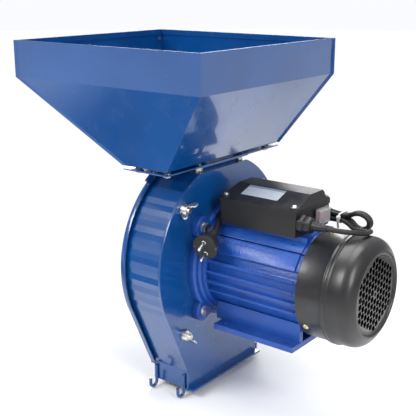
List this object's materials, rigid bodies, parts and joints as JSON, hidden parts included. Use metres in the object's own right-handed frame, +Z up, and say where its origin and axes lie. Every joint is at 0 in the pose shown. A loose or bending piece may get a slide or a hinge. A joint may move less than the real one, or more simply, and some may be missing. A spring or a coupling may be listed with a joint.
{
  "type": "hammer mill",
  "caption": "Electric hammer mill for grain, with a sheet-metal hopper over a round milling drum with swinging hammers, a bottom outlet and a foot-mounted motor.",
  "frame": {"origin": "middle of the motor foot's bolt pattern, on the foot's underside", "axes": "+X along the shaft from the mill to the motor's fan, +Z up, +Y by the right-hand rule"},
  "size_m": [0.5265, 0.329, 0.5284],
  "materials": {
    "mill_enamel": "glossy enamel",
    "motor_paint": "gloss blue paint over rough-cast aluminium",
    "zinc": "bright zinc plating",
    "yellow_zinc": "yellow zinc plating",
    "steel": "plain machined steel",
    "hard_steel": "dark hardened steel",
    "laminations": "stacked electrical sheet",
    "copper": "varnished copper wire",
    "black_steel": "semi-gloss black paint",
    "black_plastic": "satin black plastic",
    "rubber": "black rubber",
    "red_plastic": "glossy red plastic",
    "clear_plastic": "clear soft plastic",
    "label_foil": "blank satin foil",
    "white_plastic": "natural nylon"
  },
  "bodies": {
    "housing": {"motor_side_plate": "mill_enamel", "drum_band": "mill_enamel", "sack_hooks": "mill_enamel", "feed_chute": "mill_enamel", "hopper_base": "mill_enamel", "hopper_floor": "mill_enamel", "hopper_front_wall": "mill_enamel", "hopper_back_wall": "mill_enamel", "hopper_motor_wall": "mill_enamel", "hopper_outer_wall": "mill_enamel", "hopper_rivets": "zinc", "hopper_bolts": "zinc", "sieve": "steel", "shaft_seal": "rubber", "front_shield": "motor_paint", "flange_bolts": "zinc", "motor_frame": "motor_paint", "motor_foot": "motor_paint", "rear_shield": "motor_paint", "bearing_outer_rings": "steel", "stator_core": "laminations", "stator_windings": "copper", "fan_cover": "black_steel", "motor_screws": "yellow_zinc", "terminal_box": "black_plastic", "box_lid": "black_plastic", "lid_screws": "zinc", "rating_label": "label_foil", "capacitor": "black_plastic", "cable_gland": "black_plastic", "switch_body": "black_plastic", "switch_boot": "clear_plastic", "power_cord": "rubber", "cord_hank": "rubber", "cord_tie": "white_plastic", "plug_lead": "rubber", "plug_body": "rubber", "plug_pins": "zinc"},
    "cover": {"cover_plate": "mill_enamel", "cover_gasket": "rubber", "tie_bolts": "zinc"},
    "gate": {"slide_gate": "zinc"},
    "rotor": {"motor_shaft": "steel", "rotor_fixings": "zinc", "rotor_frame": "steel", "hammer_pins": "steel", "hammer_spacers": "steel", "bearing_inner_rings": "steel", "bearing_balls": "steel", "rotor_core": "laminations", "cooling_fan": "black_plastic"},
    "hammers_1": {"hammer_row_1": "hard_steel"},
    "hammers_2": {"hammer_row_2": "hard_steel"},
    "hammers_3": {"hammer_row_3": "hard_steel"},
    "hammers_4": {"hammer_row_4": "hard_steel"},
    "wing_nut_a": {"wing_nut_1": "zinc"},
    "wing_nut_b": {"wing_nut_2": "zinc"},
    "wing_nut_c": {"wing_nut_3": "zinc"},
    "wing_nut_d": {"wing_nut_4": "zinc"},
    "rocker": {"switch_rocker": "red_plastic"}
  },
  "joints": [
    {"name": "rotor_spin", "type": "hinge", "parent": "housing", "child": "rotor", "pos_m": [-0.1, 0, 0.088], "axis": [1, 0, 0], "continuous": true},
    {"name": "hammer_swing_1", "type": "hinge", "parent": "rotor", "child": "hammers_1", "pos_m": [-0.134, 0.03535, 0.12336], "axis": [1, 0, 0], "range_deg": [0, 270]},
    {"name": "hammer_swing_2", "type": "hinge", "parent": "rotor", "child": "hammers_2", "pos_m": [-0.134, -0.03535, 0.12336], "axis": [1, 0, 0], "range_deg": [-270, 0]},
    {"name": "hammer_swing_3", "type": "hinge", "parent": "rotor", "child": "hammers_3", "pos_m": [-0.134, -0.03535, 0.05264], "axis": [1, 0, 0], "range_deg": [-180, 90]},
    {"name": "hammer_swing_4", "type": "hinge", "parent": "rotor", "child": "hammers_4", "pos_m": [-0.134, 0.03535, 0.05264], "axis": [1, 0, 0], "range_deg": [-90, 180]},
    {"name": "cover_pull", "type": "slide", "parent": "housing", "child": "cover", "axis": [-1, 0, 0], "range_m": [0, 0.09]},
    {"name": "gate_slide", "type": "slide", "parent": "housing", "child": "gate", "axis": [-1, 0, 0], "range_m": [0, 0.054]},
    {"name": "wing_nut_turn_a", "type": "hinge", "parent": "housing", "child": "wing_nut_a", "pos_m": [-0.095, -0.097, 0.185], "axis": [1, 0, 0], "continuous": true},
    {"name": "wing_nut_turn_b", "type": "hinge", "parent": "housing", "child": "wing_nut_b", "pos_m": [-0.095, -0.097, -0.009], "axis": [1, 0, 0], "continuous": true},
    {"name": "wing_nut_turn_c", "type": "hinge", "parent": "housing", "child": "wing_nut_c", "pos_m": [-0.095, 0.097, 0.185], "axis": [1, 0, 0], "continuous": true},
    {"name": "wing_nut_turn_d", "type": "hinge", "parent": "housing", "child": "wing_nut_d", "pos_m": [-0.095, 0.097, -0.009], "axis": [1, 0, 0], "continuous": true},
    {"name": "rocker_tilt", "type": "hinge", "parent": "housing", "child": "rocker", "pos_m": [0.048, 0.0205, 0.177], "axis": [0, 0, 1], "range_deg": [0, 18]}
  ]
}
